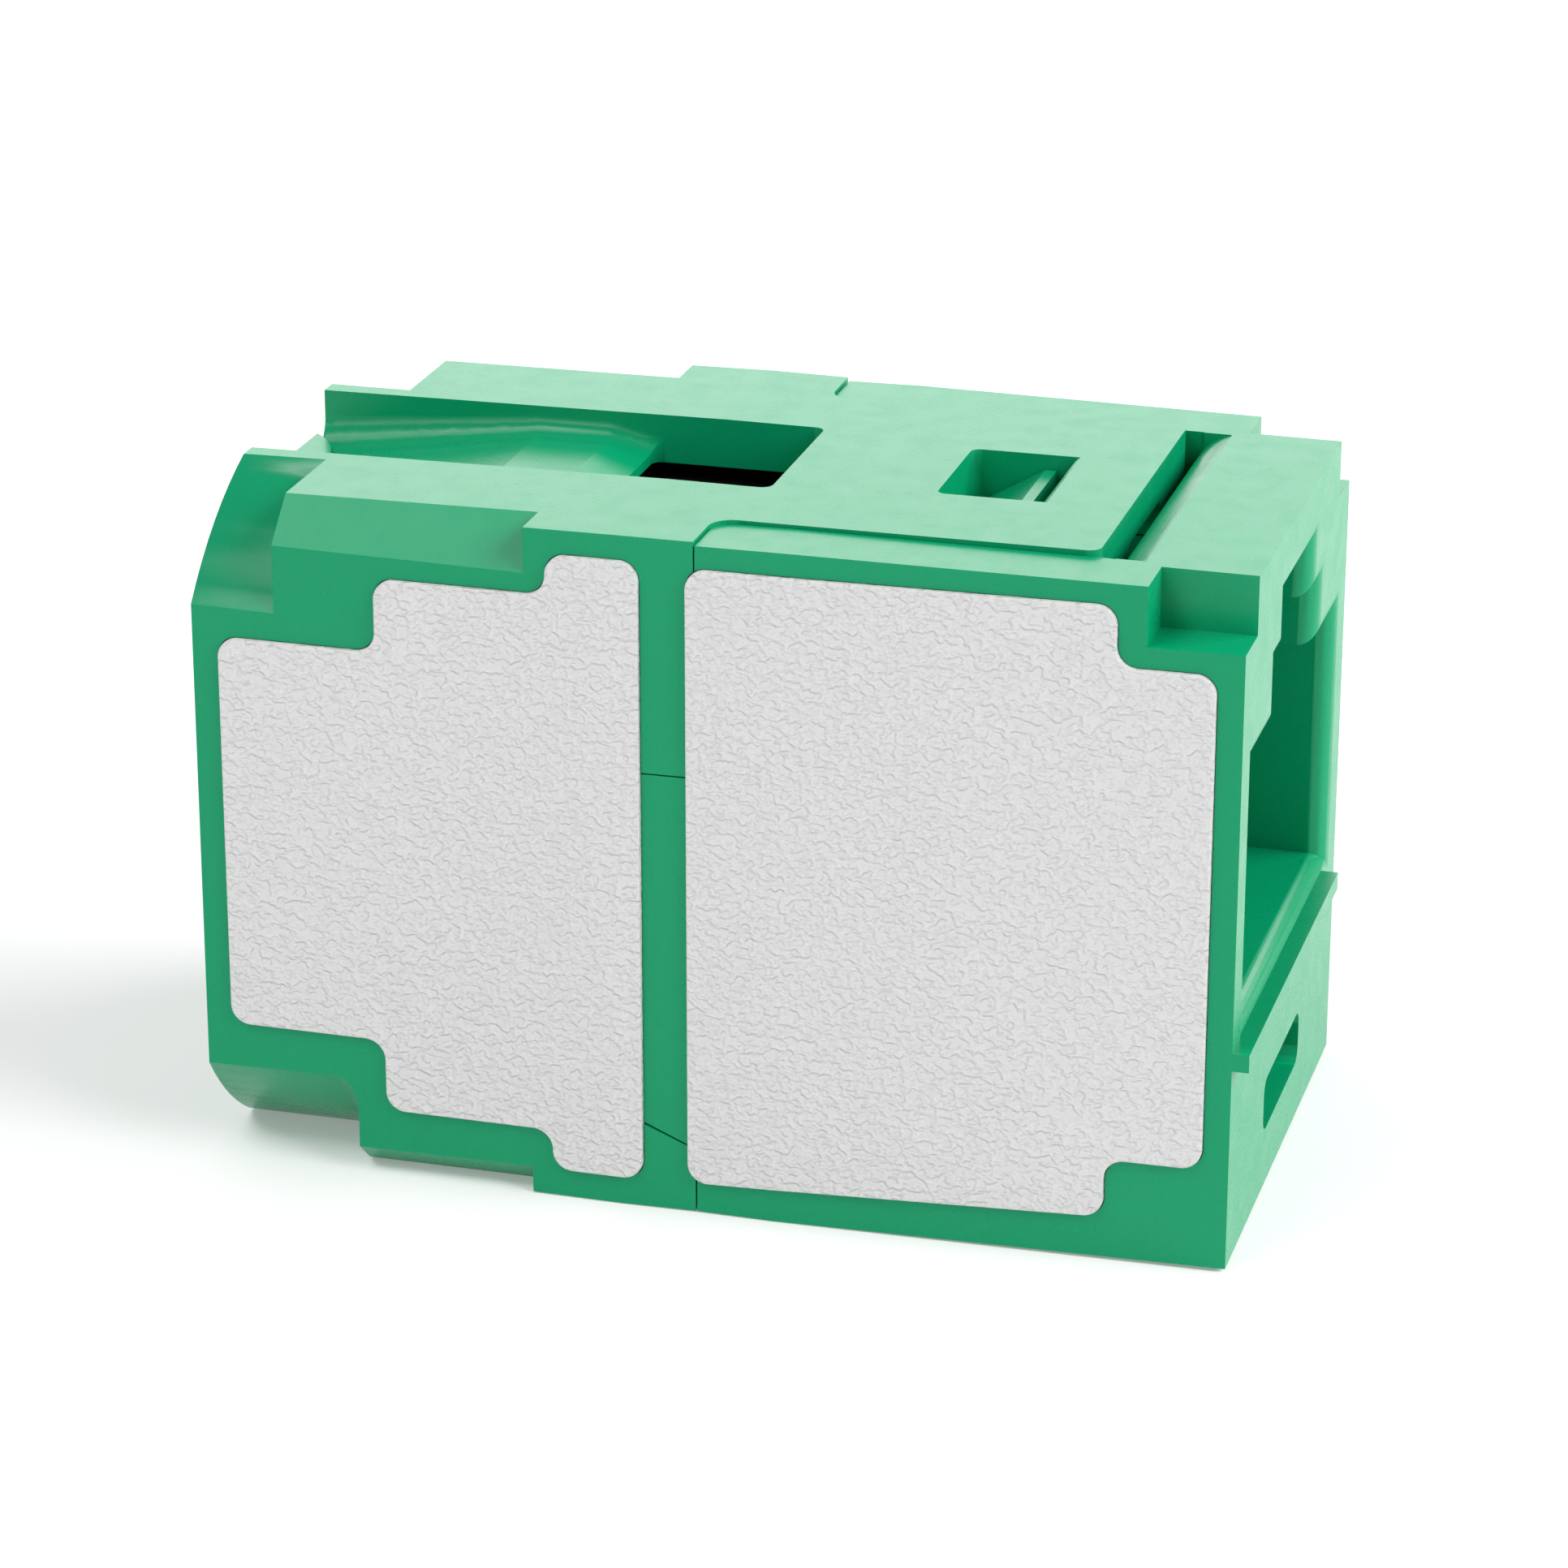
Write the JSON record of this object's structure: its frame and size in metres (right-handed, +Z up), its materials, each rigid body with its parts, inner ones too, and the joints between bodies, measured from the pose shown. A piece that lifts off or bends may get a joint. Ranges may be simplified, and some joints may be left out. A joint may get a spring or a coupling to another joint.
{
  "type": "pluggable terminal block",
  "caption": "Single-position plug connector: push-in wire clamp at the rear, keyed mating socket in front.",
  "frame": {"origin": "under the middle of the plug, at the centre of the bottom of its bounding box", "axes": "+X towards the mating end, -Y towards the side seen in the picture, +Z up"},
  "size_m": [0.0276, 0.0152, 0.0181],
  "materials": {
    "housing_green": "satin moulded polyamide",
    "panel_grey": "fine textured matte plastic",
    "pusher_black": "matte",
    "carrier_green": "matte",
    "spring_steel": "stainless spring strip",
    "tinned_copper": "tin-plated copper alloy"
  },
  "bodies": {
    "housing": {"rear_housing": "housing_green", "front_housing": "housing_green", "panel_rear_near": "panel_grey", "panel_rear_far": "panel_grey", "panel_front_near": "panel_grey", "panel_front_far": "panel_grey", "clamp_cage": "spring_steel", "current_bar": "tinned_copper", "spring_base": "spring_steel", "contact_arm_upper": "tinned_copper", "contact_arm_lower": "tinned_copper", "over_spring": "spring_steel", "contact_carrier": "carrier_green", "spring_post": "spring_steel", "cage_rivet_1": "tinned_copper", "cage_rivet_2": "tinned_copper", "contact_rivet_1": "tinned_copper", "contact_rivet_2": "tinned_copper"},
    "pusher": {"release_pusher": "pusher_black"},
    "leaf": {"spring_leaf": "spring_steel"}
  },
  "joints": [
    {"name": "pusher_slide", "type": "slide", "parent": "housing", "child": "pusher", "axis": [0, 0, -1], "range_m": [0, 0.0026], "stiffness_N_per_m": 400},
    {"name": "leaf_pivot", "type": "hinge", "parent": "housing", "child": "leaf", "pos_m": [-0.00916, 0, 0.00385], "axis": [0, 1, 0], "range_deg": [0, 20]}
  ],
  "couplings": [
    {"joint": "leaf_pivot", "follows": "pusher_slide", "rad_per_m": 132}
  ]
}
